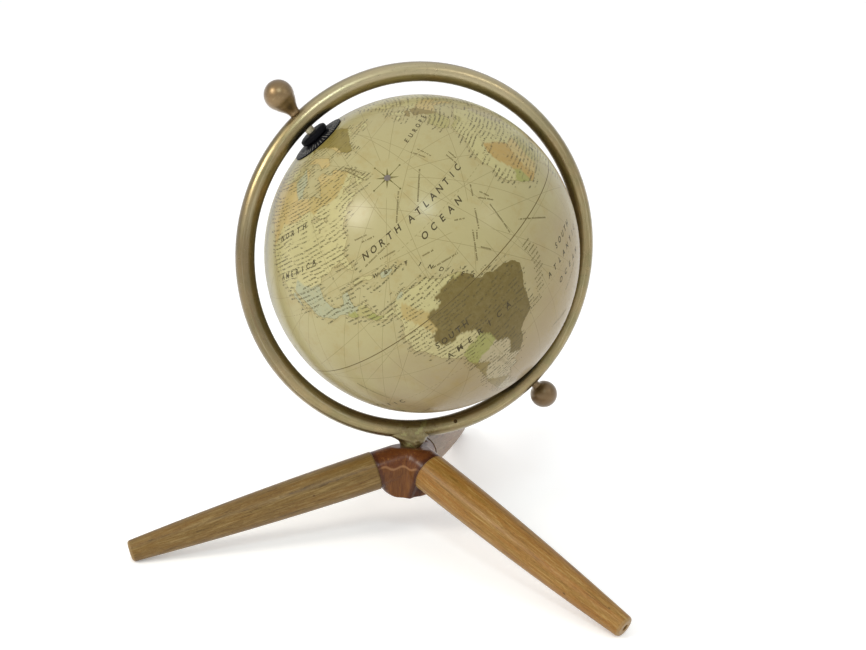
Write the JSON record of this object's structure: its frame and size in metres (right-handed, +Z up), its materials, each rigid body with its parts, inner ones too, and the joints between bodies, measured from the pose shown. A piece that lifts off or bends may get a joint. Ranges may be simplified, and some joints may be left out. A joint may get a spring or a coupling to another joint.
{
  "type": "desktop globe on stand",
  "caption": "Antique-style map globe turning on a slanted axle inside a round brass tube ring with ball ends, on a hub with splayed tapered wooden legs.",
  "frame": {"origin": "on the floor, at the centre of the part's bounding box", "axes": "+Z up, +X along the ring's plane away from the left leg, +Y square to the ring and away from the front, which is where the right leg reaches"},
  "size_m": [0.3164, 0.3194, 0.3101],
  "materials": {
    "map_print": "varnished antique map print on a moulded shell",
    "inner_board": "bare",
    "black_plastic": "gloss, with fine light radial ticks on the disc",
    "antique_brass": "aged, brushed, with worn highlights",
    "dark_brass": "dark",
    "bright_sleeve": "bright",
    "zinc_steel": "zinc plated",
    "hub_wood": "dark red-brown stain, satin varnish",
    "leg_wood": "honey brown, satin varnish",
    "dowel_wood": "bare beech"
  },
  "bodies": {
    "stand": {"axle": "zinc_steel", "dowel_left": "dowel_wood", "dowel_rear": "dowel_wood", "dowel_right": "dowel_wood", "finial_north": "antique_brass", "finial_south": "antique_brass", "hub": "hub_wood", "hub_bolt": "zinc_steel", "hub_washer": "zinc_steel", "leg_left": "leg_wood", "leg_rear": "leg_wood", "leg_right": "leg_wood", "ring": "antique_brass", "ring_pin": "dark_brass", "ring_post": "antique_brass", "ring_spigot": "dark_brass", "sleeve_north": "bright_sleeve", "sleeve_south": "bright_sleeve"},
    "globe": {"cap_collar_north": "black_plastic", "cap_collar_south": "black_plastic", "equator_band": "inner_board", "globe_north": "map_print", "globe_south": "map_print", "polar_disc_north": "black_plastic", "polar_disc_south": "black_plastic", "pole_cap_north": "black_plastic", "pole_cap_south": "black_plastic"}
  },
  "joints": [
    {"name": "globe_spin", "type": "hinge", "parent": "stand", "child": "globe", "pos_m": [0.03687, 0.01805, 0.19015], "axis": [-0.6769, 0.1101, 0.7278], "continuous": true}
  ]
}
